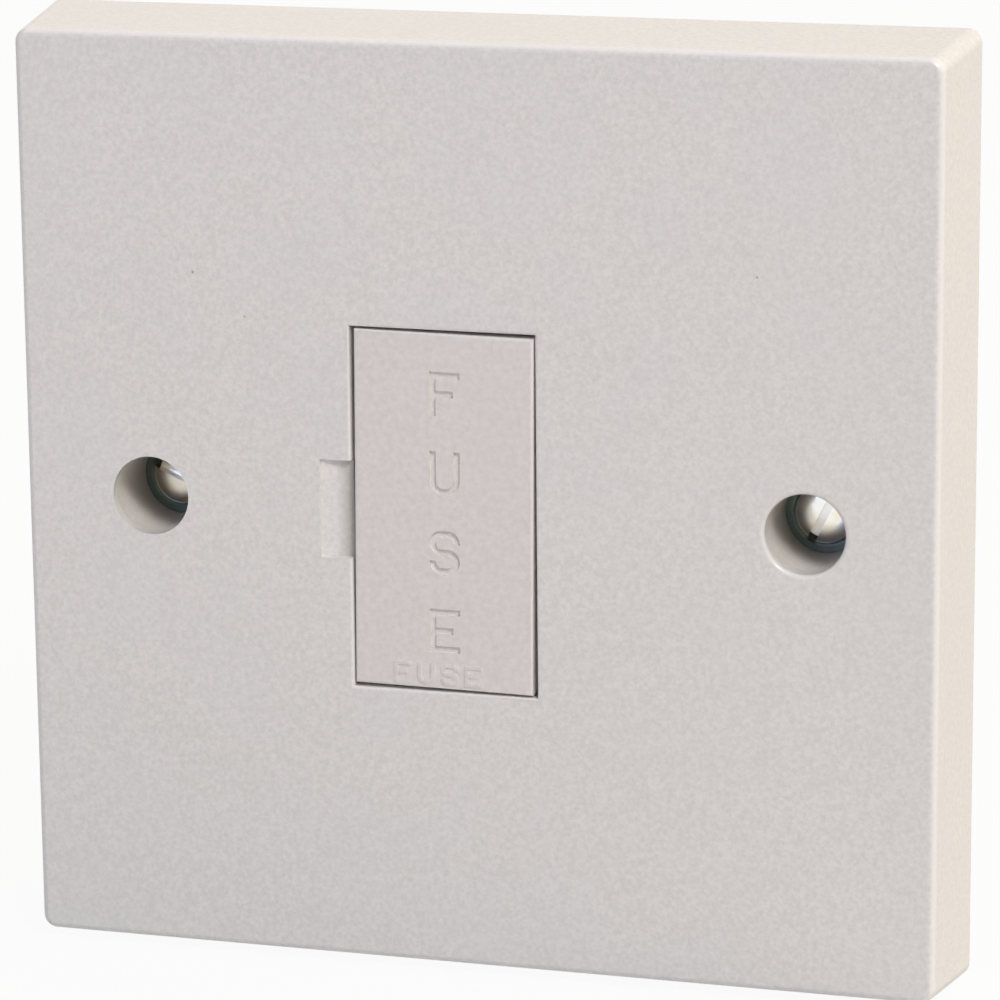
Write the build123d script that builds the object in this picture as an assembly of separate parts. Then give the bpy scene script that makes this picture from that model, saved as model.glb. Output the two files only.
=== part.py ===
from build123d import *
import os
from math import asin, cos, degrees, radians, sin

# A square wall plate with a pull-out fuse. The front plate and the rear housing are mouldings,
# the live, neutral and earth terminals sit in the housing, and the carrier slides out of the
# plate to bring the cartridge fuse in front of the face.
# Millimetres. X runs to the right as seen from the front, Y into the wall, Z up. The origin is
# the middle of the wall plane, half way between the two fixing screws.

# Front plate: outline, walls and soft edges
rim_size = 86.0
plate_depth = 11.5
side_flare = 1.05
corner_radius = 1.3
front_edge_radius = 0.7
hole_edge_radius = 0.45
opening_edge_radius = 0.3
skin = 2.6
side_wall = 2.2
rib_thickness = 1.4
rib_height = 3.0

# Fixing screws and the eyelets that they seat in
fixing_centres = 60.3
fixing_bore_radius = 3.6
fixing_boss_wall = 1.4
fixing_screw_radius = 1.75
fixing_neck_radius = 1.5
fixing_screw_length = 25.0
fixing_head_radius = 2.8
fixing_head_dome = 0.6
fixing_slot_width = 0.8
fixing_slot_depth = 0.9
fixing_slot_angles = (24.0, -63.0)
eyelet_length = 3.2
eyelet_mouth_radius = 3.0
eyelet_flange = 0.6
eyelet_flange_radius = 4.7
screw_hole_play = 0.15
press_play = 0.03

# Cartridge fuse
fuse_length = 25.4
fuse_cap_radius = 3.175
fuse_cap_length = 5.6
fuse_cap_wall = 0.35
fuse_tube_radius = 3.1
fuse_bore_radius = 1.7
fuse_wire_radius = 0.25
fuse_y = 1.0

# Fuse carrier and its opening in the plate
carrier_x = -2.6
opening_width = 17.1
fuse_end_room = 2.2
carrier_gap = 0.3
skew_share = 0.52
carrier_travel = 16.2
lid_thickness = 2.4
lid_edge_radius = 0.3
arm_thickness = 1.3
arm_width = 7.0
lug_width = 4.0
lug_height = 1.3
lug_thickness = 1.5
lug_room = 0.5
stop_gap = 0.1
spine_thickness = 2.4
cradle_wall = 1.45
cradle_play = 0.05
cradle_grip = 1.2
cradle_end_room = 1.3
well_wall = 1.6
notch_width = 2.9
notch_height = 9.0
notch_drop = 0.2
notch_step = 0.3
notch_depth = 1.0
lever_hook_reach = 0.7

# Lettering on the carrier in even strokes: how round its bends are, how open its hooks, and how
# far its middle bars reach
letter_bend_share = 0.48
letter_hook_share = 0.45
letter_bar_share = 0.78
engraved_height = 4.0
engraved_width = 2.8
engraved_stroke = 0.6
engraved_shift = 0.15
engraved_pitch = 7.2
engraved_depth = 0.3
raised_height = 1.9
raised_width = 1.55
raised_stroke = 0.3
raised_pitch = 2.2
raised_proud = 0.12
raised_margin = 0.45
raised_shift = -0.5

# Terminals and their clamp screws
terminal_width = 7.0
terminal_height = 8.0
terminal_depth = 9.0
terminal_edge = 0.4
wire_bore_radius = 2.1
wire_bore_setback = 3.9
wire_entry_radius = 2.7
earth_screw_pitch = 8.0
terminal_screw_radius = 1.75
terminal_screw_length = 5.2
terminal_screw_lift = 0.2
terminal_head_radius = 2.7
terminal_head_height = 2.0
terminal_slot_width = 0.9
terminal_slot_depth = 1.1
thread_play = 0.05
head_play = 0.4
head_recess = 0.7

# Fuse contacts, neutral link and earth strap, all bent from sheet
contact_sheet = 0.7
contact_play = 0.1
contact_reach = 3.8
contact_flare = 1.1
contact_margin = 0.4
strap_width = 3.8
strap_gap = 0.4
link_width = 2.8
link_sheet = 1.0
earth_sheet = 0.8
earth_strap_width = 5.0
earth_strap_gap = 1.2

# Rear housing and the screws that hold it to the plate
housing_seat_y = -3.0
housing_wall = 1.8
housing_edge_radius = 1.2
rear_wall = 1.8
partition = 1.6
chamber_room = 0.65
neutral_room = 2.8
pocket_gap = 0.1
post_size = 4.0
stop_depth = 1.0
tapping_radius = 1.45
tapping_length = 11.0
tapping_head_radius = 2.7
tapping_head_height = 1.9
tapping_flange = 6.5
tapping_tube_wall = 1.2
tapping_pilot_room = 0.4
tapping_cross_width = 0.7
tapping_cross_span = 3.0
tapping_cross_depth = 1.1

# Planes along Y
front_y = -plate_depth
skin_y = front_y + skin
lid_back_y = front_y + lid_thickness
boss_back_y = -eyelet_flange - earth_sheet
well_back_y = housing_seat_y - carrier_gap
terminal_front_y = -eyelet_flange
terminal_back_y = terminal_front_y + terminal_depth
wire_bore_y = terminal_front_y + wire_bore_setback
terminal_tip_y = wire_bore_y + wire_bore_radius + terminal_screw_lift
terminal_head_y = terminal_tip_y + terminal_screw_length
lug_front_y = skin_y + carrier_travel + stop_gap
tail_y = lug_front_y + lug_thickness
housing_floor_y = max(
    terminal_head_y + terminal_head_height + head_recess - rear_wall,
    tail_y + stop_gap + stop_depth,
)
housing_back_y = housing_floor_y + rear_wall

# Carrier, opening and fuse chamber
opening_height = fuse_length + 2 * (fuse_end_room + arm_thickness + carrier_gap)
lid_width = opening_width - 2 * carrier_gap
lid_height = opening_height - 2 * carrier_gap
carrier_skew = degrees(asin(skew_share * carrier_gap / (lid_height / 2)))
opening_left = carrier_x - opening_width / 2
opening_right = carrier_x + opening_width / 2
chamber_left = opening_left - chamber_room
chamber_right = opening_right + chamber_room
chamber_top = lid_height / 2 + lug_height + lug_room
well_top = opening_height / 2 + well_wall
fixing_x = fixing_centres / 2
fixing_boss_radius = fixing_bore_radius + fixing_boss_wall

# Fuse contacts: a clip wide enough for the skewed fuse, and the strap's side plate
contact_low_z = fuse_length / 2 - fuse_cap_length + contact_margin
contact_high_z = fuse_length / 2 - contact_margin
contact_radius = fuse_cap_radius + contact_play + fuse_length / 2 * sin(radians(carrier_skew))
contact_back_y = fuse_y + contact_radius + contact_sheet
strap_z = (contact_low_z + contact_high_z) / 2
strap_right = chamber_left - partition - strap_gap
strap_left = strap_right - contact_sheet

# Terminal places: live on the left, neutral on the right, earth below the chamber
row_z = chamber_top + partition + pocket_gap + terminal_height / 2
row_inner_z = row_z - terminal_height / 2 - pocket_gap
row_outer_z = row_z + terminal_height / 2 + pocket_gap
live_x = strap_left - terminal_width / 2
neutral_x = chamber_right + partition + neutral_room + terminal_width / 2
live_pocket_right = strap_right + pocket_gap
earth_width = earth_screw_pitch + terminal_width
earth_x = live_pocket_right + partition + pocket_gap + earth_width / 2
earth_bores_x = (earth_x - earth_screw_pitch / 2, earth_x + earth_screw_pitch / 2)
clamp_places = (
    (live_x, row_z),
    (live_x, -row_z),
    (neutral_x, row_z),
    (neutral_x, -row_z),
    (earth_bores_x[0], -row_z),
    (earth_bores_x[1], -row_z),
)

# Housing outline and the two tapping screws beside the chamber
housing_in_left = live_x - terminal_width / 2 - pocket_gap
housing_in_right = neutral_x + terminal_width / 2 + pocket_gap
housing_left = housing_in_left - housing_wall
housing_right = housing_in_right + housing_wall
housing_top = row_outer_z + housing_wall
tapping_tube_radius = tapping_head_radius + head_play + tapping_tube_wall
tapping_seat_y = housing_seat_y + tapping_flange
tapping_tip_y = tapping_seat_y - tapping_length
tapping_places_x = (
    chamber_left - partition / 2 - tapping_tube_radius,
    chamber_right + partition / 2 + tapping_tube_radius,
)
link_right = neutral_x + terminal_width / 2
link_left = link_right - link_width
earth_bar_top = -housing_top - earth_strap_gap
earth_bar_low = earth_bar_top - earth_strap_width


def block(x_span, y_span, z_span):
    """Box between two corners, given as three (low, high) pairs."""
    spans = (x_span, y_span, z_span)
    middle = [(low + high) / 2 for low, high in spans]
    sizes = [high - low for low, high in spans]
    return Pos(*middle) * Box(*sizes)


def mirrored(z_span, side):
    """A (low, high) pair above the middle plane, or its mirror image below it."""
    low, high = z_span
    return (low, high) if side > 0 else (-high, -low)


def around(middle, width):
    """The (low, high) pair of a width about a middle."""
    return (middle - width / 2, middle + width / 2)


def bar_along_y(x, z, radius, y_span):
    """Round bar along Y."""
    low, high = y_span
    return Pos(x, (low + high) / 2, z) * Rot(90, 0, 0) * Cylinder(radius, high - low)


def bar_along_z(x, y, radius, z_span):
    """Round bar along Z."""
    low, high = z_span
    return Pos(x, y, (low + high) / 2) * Cylinder(radius, high - low)


def turned(profile):
    """Solid turned about the Y axis from a closed outline of (radius, y) points."""
    return revolve(make_face(Polyline(*profile, close=True)), Axis.Y)


def skewed(solid):
    """The solid as it sits with the carrier, turned a little in its opening."""
    return Pos(carrier_x, 0, 0) * Rot(0, carrier_skew, 0) * Pos(-carrier_x, 0, 0) * solid


def stroke_letter(name, height, width, stroke):
    """Flat capital letter of even strokes, centred on its own box."""
    side = (width - stroke) / 2
    top = (height - stroke) / 2
    bend = letter_bend_share * top
    hook = letter_hook_share * top
    stem = Line((-side, -height / 2), (-side, height / 2))
    top_bar = Line((-width / 2, top), (width / 2, top))
    middle_bar = Line((-width / 2, 0), ((letter_bar_share - 0.5) * width, 0))
    foot_bar = Line((-width / 2, -top), (width / 2, -top))
    paths = {
        "F": [stem, top_bar, middle_bar],
        "U": [
            FilletPolyline(
                (-side, height / 2), (-side, -top), (side, -top), (side, height / 2),
                radius=2 * letter_bend_share * side,
            )
        ],
        "S": [
            FilletPolyline(
                (side, hook), (side, top), (-side, top), (-side, 0),
                (side, 0), (side, -top), (-side, -top), (-side, -hook),
                radius=bend,
            )
        ],
        "E": [stem, top_bar, middle_bar, foot_bar],
    }
    return Sketch() + [trace(path, stroke) for path in paths[name]]


def flared_block(size, depth):
    """Square block on the wall plane whose four sides lean in towards the front as the plate's do."""
    lean = side_flare * depth / plate_depth
    on_wall = (Align.CENTER, Align.MIN, Align.CENTER)
    behind = Wedge(size, depth, size, lean, lean, size - lean, size - lean, align=on_wall)
    return mirror(behind, about=Plane.XZ)


def plate_shell():
    """Square moulding that flares out to the wall, hollow from behind."""
    shell = flared_block(rim_size, plate_depth)
    corner_edges = [e for e in shell.edges() if abs(e.tangent_at(0.5).Y) > 0.5]
    shell = fillet(corner_edges, corner_radius)
    front_edges = shell.faces().sort_by(Axis.Y)[0].edges()
    shell = fillet(front_edges, min(front_edge_radius, 0.8 * corner_radius))
    return shell - flared_block(rim_size - 2 * side_wall, plate_depth - skin)


def plate_ribs():
    """Stiffening ribs from the housing seat and the bosses out to the side walls."""
    reach = rim_size / 2 - side_wall / 2 - side_flare
    y_span = (skin_y - skin / 2, skin_y + rib_height)
    ribs = []
    for x in tapping_places_x:
        for side in (1, -1):
            z_span = mirrored((housing_top - housing_wall / 2, reach), side)
            ribs.append(block(around(x, rib_thickness), y_span, z_span))
    for low, high in ((fixing_x, reach), (-reach, -fixing_x)):
        ribs.append(block((low, high), y_span, around(0, rib_thickness)))
    return ribs


def plate_inner_walls():
    """Well of the carrier, seat of the housing, bosses, pillars and terminal posts."""
    root_y = skin_y - skin / 2
    well = block(
        (opening_left - well_wall, opening_right + well_wall),
        (root_y, well_back_y),
        around(0, 2 * well_top),
    )
    seat_y_span = (root_y, housing_seat_y)
    seat = block((housing_left, housing_right), seat_y_span, around(0, 2 * housing_top))
    seat -= block((housing_in_left, housing_in_right), seat_y_span, around(0, 2 * row_outer_z))
    walls = [well, seat]
    for side in (-1, 1):
        walls.append(bar_along_y(side * fixing_x, 0, fixing_boss_radius, (root_y, boss_back_y)))
    for x in tapping_places_x:
        walls.append(bar_along_y(x, 0, tapping_tube_radius, (root_y, housing_seat_y)))
    for x, z in clamp_places:
        end_y = terminal_front_y
        if x == neutral_x:
            end_y -= link_sheet
        if x in earth_bores_x:
            end_y -= earth_sheet
        walls.append(block(around(x, post_size), (root_y, end_y), around(z, post_size)))
    return walls


def lever_notch():
    """Wedge for a screwdriver blade: a small step at the left, deepest at the carrier."""
    left = opening_left - notch_width
    far = opening_left + notch_width
    above = front_y - notch_depth
    section = Polyline(
        (left, front_y + notch_step), (left, above), (far, above),
        (far, front_y + 2 * notch_depth - notch_step), close=True,
    )
    return Pos(0, 0, -notch_drop) * extrude(make_face(section), notch_height / 2, both=True)


def front_plate():
    """White moulded plate with everything that is moulded on its back."""
    plate = plate_shell()
    for rib in plate_ribs():
        plate += rib
    for wall in plate_inner_walls():
        plate += wall
    clear_y = front_y - skin
    plate -= block(
        (opening_left, opening_right), (clear_y, well_back_y), around(0, opening_height)
    )
    for side in (-1, 1):
        plate -= bar_along_y(side * fixing_x, 0, fixing_bore_radius, (clear_y, 0))
    opening_reach = max(opening_height, fixing_centres) / 2 + fixing_bore_radius
    for outline, radius in ((GeomType.CIRCLE, hole_edge_radius), (GeomType.LINE, opening_edge_radius)):
        mouths = plate.edges().filter_by_position(Axis.Y, front_y, front_y).filter_by(outline)
        inner_mouths = [e for e in mouths if max(abs(e.center().X), abs(e.center().Z)) < opening_reach]
        plate = fillet(inner_mouths, radius)
    for side in (1, -1):
        lug_slot = mirrored((lid_height / 2, max(well_top, chamber_top)), side)
        plate -= block(
            around(carrier_x, lug_width + 2 * lug_room), (skin_y, housing_seat_y), lug_slot
        )
    plate -= lever_notch()
    for x in tapping_places_x:
        pilot_span = (tapping_tip_y - tapping_pilot_room, housing_seat_y)
        plate -= bar_along_y(x, 0, tapping_radius + thread_play, pilot_span)
    return plate


def carrier_lid():
    """Flush lid of the carrier with the word cut in down its middle and raised at its foot, and
    with a step behind its left edge that the screwdriver blade hooks under."""
    lid = block(
        around(carrier_x, lid_width), (front_y, lid_back_y), around(0, lid_height)
    )
    lid = fillet(lid.faces().sort_by(Axis.Y)[0].edges(), lid_edge_radius)
    lid_left = carrier_x - lid_width / 2
    hook_span = (lid_left - lever_hook_reach, lid_left + lever_hook_reach)
    hook_y_span = (front_y + notch_depth, lid_back_y + lid_thickness)
    lid -= block(hook_span, hook_y_span, around(-notch_drop, notch_height))
    word = "FUSE"
    for place, name in enumerate(word):
        step = place - (len(word) - 1) / 2
        z = -step * engraved_pitch
        face = Plane((carrier_x + engraved_shift, front_y, z), x_dir=(1, 0, 0), z_dir=(0, -1, 0))
        letter = stroke_letter(name, engraved_height, engraved_width, engraved_stroke)
        lid -= extrude(face * letter, -engraved_depth)
        x = carrier_x + raised_shift + step * raised_pitch
        foot_z = -lid_height / 2 + raised_margin + raised_height / 2
        face = Plane((x, front_y, foot_z), x_dir=(1, 0, 0), z_dir=(0, -1, 0))
        letter = stroke_letter(name, raised_height, raised_width, raised_stroke)
        lid += extrude(face * letter, raised_proud)
    return lid


def carrier_cradle():
    """Web, end ribs and the snap cradle that grips the middle of the fuse."""
    half_length = fuse_length / 2 - fuse_cap_length - cradle_end_room
    seat_radius = fuse_tube_radius + cradle_play
    half_width = seat_radius + cradle_wall
    root_y = lid_back_y - lid_thickness / 2
    jaw_y = fuse_y - seat_radius - cradle_wall
    cradle = block(
        around(carrier_x, 2 * half_width), (jaw_y, fuse_y + cradle_grip), around(0, 2 * half_length)
    )
    cradle += block(
        around(carrier_x, spine_thickness), (root_y, fuse_y - seat_radius), around(0, 2 * half_length)
    )
    for side in (1, -1):
        rib_span = mirrored((half_length - cradle_wall, half_length), side)
        cradle += block(around(carrier_x, 2 * half_width), (root_y, jaw_y + cradle_wall), rib_span)
    return cradle - bar_along_z(carrier_x, fuse_y, seat_radius, around(0, fuse_length))


def fuse_carrier():
    """Pull-out carrier: lid, cradle and the two tail arms with their stop lugs."""
    carrier = carrier_lid() + carrier_cradle()
    root_y = lid_back_y - lid_thickness / 2
    for side in (1, -1):
        arm_span = mirrored((lid_height / 2 - arm_thickness, lid_height / 2), side)
        carrier += block(around(carrier_x, arm_width), (root_y, tail_y), arm_span)
        lug_span = mirrored((lid_height / 2 - arm_thickness, lid_height / 2 + lug_height), side)
        carrier += block(around(carrier_x, lug_width), (lug_front_y, tail_y), lug_span)
    return skewed(carrier)


def fuse_tube():
    """Ceramic body of the fuse, stepped down at both ends to go into the caps."""
    spigot_radius = fuse_cap_radius - fuse_cap_wall - press_play
    half_body = fuse_length / 2 - fuse_cap_length - press_play
    half_tube = fuse_length / 2 - fuse_cap_wall
    tube = bar_along_z(carrier_x, fuse_y, fuse_tube_radius, around(0, 2 * half_body))
    tube += bar_along_z(carrier_x, fuse_y, spigot_radius, around(0, 2 * half_tube))
    return skewed(tube - bar_along_z(carrier_x, fuse_y, fuse_bore_radius, around(0, fuse_length)))


def fuse_cap(side):
    """Drawn metal cup on one end of the fuse."""
    low = fuse_length / 2 - fuse_cap_length
    floor = fuse_length / 2 - fuse_cap_wall
    cap = bar_along_z(carrier_x, fuse_y, fuse_cap_radius, mirrored((low, fuse_length / 2), side))
    end_edges = cap.edges().filter_by(GeomType.CIRCLE).sort_by(Axis.Z)[-1 if side > 0 else 0]
    cap = fillet(end_edges, fuse_cap_wall)
    inner = bar_along_z(
        carrier_x, fuse_y, fuse_cap_radius - fuse_cap_wall, mirrored((low, floor), side)
    )
    return skewed(cap - inner)


def fuse_wire():
    """Fusible wire down the middle of the tube, from cap to cap."""
    span = around(0, fuse_length - 2 * fuse_cap_wall)
    return skewed(bar_along_z(carrier_x, fuse_y, fuse_wire_radius, span))


def fuse_contact(side):
    """U-shaped sprung clip round one fuse cap, with its strap to the live terminal."""
    tip_y = fuse_y - contact_reach
    middle = contact_radius + contact_sheet / 2
    flare_x = middle + contact_flare
    flare_y = tip_y - contact_flare
    left_arm = Polyline((-flare_x, flare_y), (-middle, tip_y), (-middle, fuse_y))
    bow = ThreePointArc((-middle, fuse_y), (0, fuse_y + middle), (middle, fuse_y))
    right_arm = Polyline((middle, fuse_y), (middle, tip_y), (flare_x, flare_y))
    clip_height = contact_high_z - contact_low_z
    section = trace([left_arm, bow, right_arm], contact_sheet)
    contact = Pos(carrier_x, 0, strap_z) * extrude(section, clip_height / 2, both=True)
    contact += block(
        (strap_left, carrier_x),
        (contact_back_y - contact_sheet, contact_back_y),
        around(strap_z, strap_width),
    )
    contact += block(
        (strap_left, strap_right),
        (wire_bore_y - wire_bore_radius, contact_back_y),
        (strap_z - strap_width / 2, row_z + terminal_height / 2),
    )
    return contact if side > 0 else contact.mirror(Plane.XY)


def clamp_terminal(x, z, width, bores_x):
    """Brass block with its wire bores along Z and a tapped hole behind each of them."""
    terminal = block(
        around(x, width), (terminal_front_y, terminal_back_y), around(z, terminal_height)
    )
    terminal = chamfer(terminal.edges(), terminal_edge)
    for bore_x in bores_x:
        terminal -= bar_along_z(bore_x, wire_bore_y, wire_bore_radius, around(z, 2 * terminal_height))
        terminal -= bar_along_y(
            bore_x, z, terminal_screw_radius + thread_play, (wire_bore_y, terminal_back_y)
        )
    return terminal


def neutral_link():
    """Brass bar laid over both neutral terminals, between them and their posts."""
    return block(
        (link_left, link_right),
        (terminal_front_y - link_sheet, terminal_front_y),
        around(0, 2 * row_z + terminal_height),
    )


def earth_strap():
    """Flat strap from the earth terminal to the eyelets at both fixing holes."""
    y_span = (boss_back_y, boss_back_y + earth_sheet)
    half_width = earth_strap_width / 2
    reach = fixing_x + half_width
    strap = block((-reach, reach), y_span, (earth_bar_low, earth_bar_top))
    strap += block(around(earth_x, earth_strap_width), y_span, (earth_bar_low, -row_inner_z))
    for side in (-1, 1):
        strap += block(around(side * fixing_x, earth_strap_width), y_span, (earth_bar_low, 0))
        strap += bar_along_y(side * fixing_x, 0, fixing_boss_radius, y_span)
    for side in (-1, 1):
        strap -= bar_along_y(side * fixing_x, 0, fixing_bore_radius, y_span)
    return strap


def fixing_eyelet():
    """Flanged metal bush with a countersunk mouth, turned about the Y axis."""
    barrel = fixing_bore_radius - press_play
    hole = fixing_screw_radius + screw_hole_play
    return turned([
        (eyelet_mouth_radius, -eyelet_length),
        (barrel, -eyelet_length),
        (barrel, -eyelet_flange),
        (eyelet_flange_radius, -eyelet_flange),
        (eyelet_flange_radius, 0),
        (hole, 0),
        (hole, eyelet_mouth_radius - hole - eyelet_length),
    ])


def fixing_screw(slot_angle):
    """Raised countersunk screw in the eyelet's cone, plain-necked up to the wall plane."""
    rim_y = eyelet_mouth_radius - fixing_head_radius - eyelet_length
    top_y = rim_y - fixing_head_dome
    neck_y = rim_y + fixing_head_radius - fixing_neck_radius
    end_y = rim_y + fixing_screw_length
    point = fixing_screw_radius / 3
    dome_radius = (fixing_head_radius**2 + fixing_head_dome**2) / (2 * fixing_head_dome)
    half_turn = asin(fixing_head_radius / dome_radius) / 2
    dome_middle = (dome_radius * sin(half_turn), top_y + dome_radius * (1 - cos(half_turn)))
    dome = ThreePointArc((0, top_y), dome_middle, (fixing_head_radius, rim_y))
    outline = Polyline(
        (fixing_head_radius, rim_y),
        (fixing_neck_radius, neck_y),
        (fixing_neck_radius, 0),
        (fixing_screw_radius, 0),
        (fixing_screw_radius, end_y - point),
        (fixing_screw_radius - point, end_y),
        (0, end_y),
        (0, top_y),
    )
    screw = revolve(make_face(dome + outline), Axis.Y)
    slot = block(
        around(0, 4 * fixing_head_radius),
        around(top_y, 2 * fixing_slot_depth),
        around(0, fixing_slot_width),
    )
    return screw - Rot(0, slot_angle, 0) * slot


def terminal_screw(x, z):
    """Cheese-head clamp screw, backed off so that the wire bore is clear."""
    top_y = terminal_head_y + terminal_head_height
    screw = bar_along_y(x, z, terminal_screw_radius, (terminal_tip_y, terminal_head_y))
    head = bar_along_y(x, z, terminal_head_radius, (terminal_head_y, top_y))
    head = chamfer(head.faces().sort_by(Axis.Y)[-1].edges(), terminal_head_height / 8)
    slot = block(
        around(x, 4 * terminal_head_radius),
        around(top_y, 2 * terminal_slot_depth),
        around(z, terminal_slot_width),
    )
    return screw + head - slot


def tapping_screw(x):
    """Pan-head tapping screw from the back of the housing into the plate."""
    top_y = tapping_seat_y + tapping_head_height
    screw = bar_along_y(x, 0, tapping_radius, (tapping_tip_y, tapping_seat_y))
    head = bar_along_y(x, 0, tapping_head_radius, (tapping_seat_y, top_y))
    head = fillet(head.faces().sort_by(Axis.Y)[-1].edges(), tapping_head_height / 3)
    cross = (tapping_cross_width, tapping_cross_span)
    for width, height in (cross, cross[::-1]):
        head -= block(around(x, width), around(top_y, 2 * tapping_cross_depth), around(0, height))
    return screw + head


def housing_walls():
    """Partitions, ledges, contact pillars and screw tubes inside the housing."""
    y_span = (housing_seat_y, housing_floor_y)
    across = (housing_in_left, housing_in_right)
    walls = []
    for x_span in ((chamber_left - partition, chamber_left), (chamber_right, chamber_right + partition)):
        walls.append(block(x_span, y_span, around(0, 2 * chamber_top)))
    live_wall = (live_pocket_right, live_pocket_right + partition)
    neutral_wall_right = neutral_x - terminal_width / 2 - pocket_gap
    neutral_wall = (neutral_wall_right - partition, neutral_wall_right)
    earth_wall_left = earth_x + earth_width / 2 + pocket_gap
    earth_wall = (earth_wall_left, earth_wall_left + partition)
    ledge_y = (terminal_back_y, housing_floor_y)
    for side in (1, -1):
        row = mirrored((row_inner_z, row_outer_z), side)
        walls.append(block(across, y_span, mirrored((chamber_top, chamber_top + partition), side)))
        walls.append(block(live_wall, y_span, row))
        walls.append(block(neutral_wall, y_span, row))
        walls.append(block((housing_in_left, live_pocket_right), ledge_y, row))
        walls.append(block((neutral_wall_right, housing_in_right), ledge_y, row))
        pillar = around(carrier_x, 2 * contact_radius)
        pillar_z = mirrored(around(strap_z, strap_width), side)
        walls.append(block(pillar, (contact_back_y, housing_floor_y), pillar_z))
        stop = mirrored((lid_height / 2 - 2 * arm_thickness, chamber_top), side)
        walls.append(block(around(carrier_x, arm_width), (tail_y + stop_gap, housing_floor_y), stop))
    lower_row = mirrored((row_inner_z, row_outer_z), -1)
    walls.append(block(earth_wall, y_span, lower_row))
    walls.append(block((live_wall[1], earth_wall_left), ledge_y, lower_row))
    for x in tapping_places_x:
        walls.append(bar_along_y(x, 0, tapping_tube_radius, (housing_seat_y, housing_back_y)))
    return walls


def housing_cuts():
    """Wire entries, screwdriver holes and the ways for the straps and the link."""
    cuts = []
    for x, z in clamp_places:
        side = 1 if z > 0 else -1
        entry = mirrored((row_outer_z, housing_top + housing_wall), side)
        cuts.append(bar_along_z(x, wire_bore_y, wire_entry_radius, entry))
        access = (terminal_back_y, housing_back_y)
        cuts.append(bar_along_y(x, z, terminal_head_radius + head_play, access))
    strap_way = (housing_seat_y, contact_back_y)
    for side in (1, -1):
        through_wall = mirrored(around(strap_z, strap_width + 2 * pocket_gap), side)
        cuts.append(block((chamber_left - partition, chamber_left), strap_way, through_wall))
        through_row = mirrored((chamber_top, row_inner_z), side)
        cuts.append(block((strap_left - pocket_gap, strap_right + pocket_gap), strap_way, through_row))
    link_way = (housing_seat_y, terminal_front_y)
    cuts.append(block((link_left - pocket_gap, link_right + pocket_gap), link_way, around(0, 2 * row_z)))
    earth_way = around(earth_x, earth_strap_width + 2 * pocket_gap)
    earth_way_y = (housing_seat_y, boss_back_y + earth_sheet)
    cuts.append(block(earth_way, earth_way_y, (-housing_top, -row_inner_z)))
    for x in tapping_places_x:
        cuts.append(bar_along_y(x, 0, tapping_radius + screw_hole_play, (housing_seat_y, tapping_seat_y)))
        cuts.append(bar_along_y(x, 0, tapping_head_radius + head_play, (tapping_seat_y, housing_back_y)))
    return cuts


def rear_housing():
    """Moulded box behind the plate, open to the front, with a pocket for every terminal."""
    outer = block(
        (housing_left, housing_right), (housing_seat_y, housing_back_y), around(0, 2 * housing_top)
    )
    outer = fillet(outer.edges().filter_by(Axis.Y), housing_edge_radius)
    outer = fillet(outer.faces().sort_by(Axis.Y)[-1].edges(), housing_edge_radius / 2)
    housing = outer - block(
        (housing_in_left, housing_in_right),
        (housing_seat_y, housing_floor_y),
        around(0, 2 * row_outer_z),
    )
    for wall in housing_walls():
        housing += wall
    for cut in housing_cuts():
        housing -= cut
    return housing


nodes = {
    "front_plate": front_plate(),
    "fuse_carrier": fuse_carrier(),
    "fuse_tube": fuse_tube(),
    "fuse_cap_upper": fuse_cap(1),
    "fuse_cap_lower": fuse_cap(-1),
    "fuse_wire": fuse_wire(),
    "fuse_contact_upper": fuse_contact(1),
    "fuse_contact_lower": fuse_contact(-1),
    "supply_live_terminal": clamp_terminal(live_x, row_z, terminal_width, [live_x]),
    "load_live_terminal": clamp_terminal(live_x, -row_z, terminal_width, [live_x]),
    "supply_neutral_terminal": clamp_terminal(neutral_x, row_z, terminal_width, [neutral_x]),
    "load_neutral_terminal": clamp_terminal(neutral_x, -row_z, terminal_width, [neutral_x]),
    "earth_terminal": clamp_terminal(earth_x, -row_z, earth_width, earth_bores_x),
    "neutral_link": neutral_link(),
    "earth_strap": earth_strap(),
    "fixing_eyelets": Part() + [Pos(side * fixing_x, 0, 0) * fixing_eyelet() for side in (-1, 1)],
    "fixing_screws": Part() + [
        Pos(side * fixing_x, 0, 0) * fixing_screw(angle)
        for side, angle in zip((-1, 1), fixing_slot_angles)
    ],
    "terminal_screws": Part() + [terminal_screw(x, z) for x, z in clamp_places],
    "housing_screws": Part() + [tapping_screw(x) for x in tapping_places_x],
    "rear_housing": rear_housing(),
}

os.makedirs("parts", exist_ok=True)
for name, solid in nodes.items():
    export_step(solid, f"parts/{name}.step")
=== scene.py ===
from math import cos, pi, radians, sin

import bpy
from mathutils import Matrix, Vector


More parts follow.
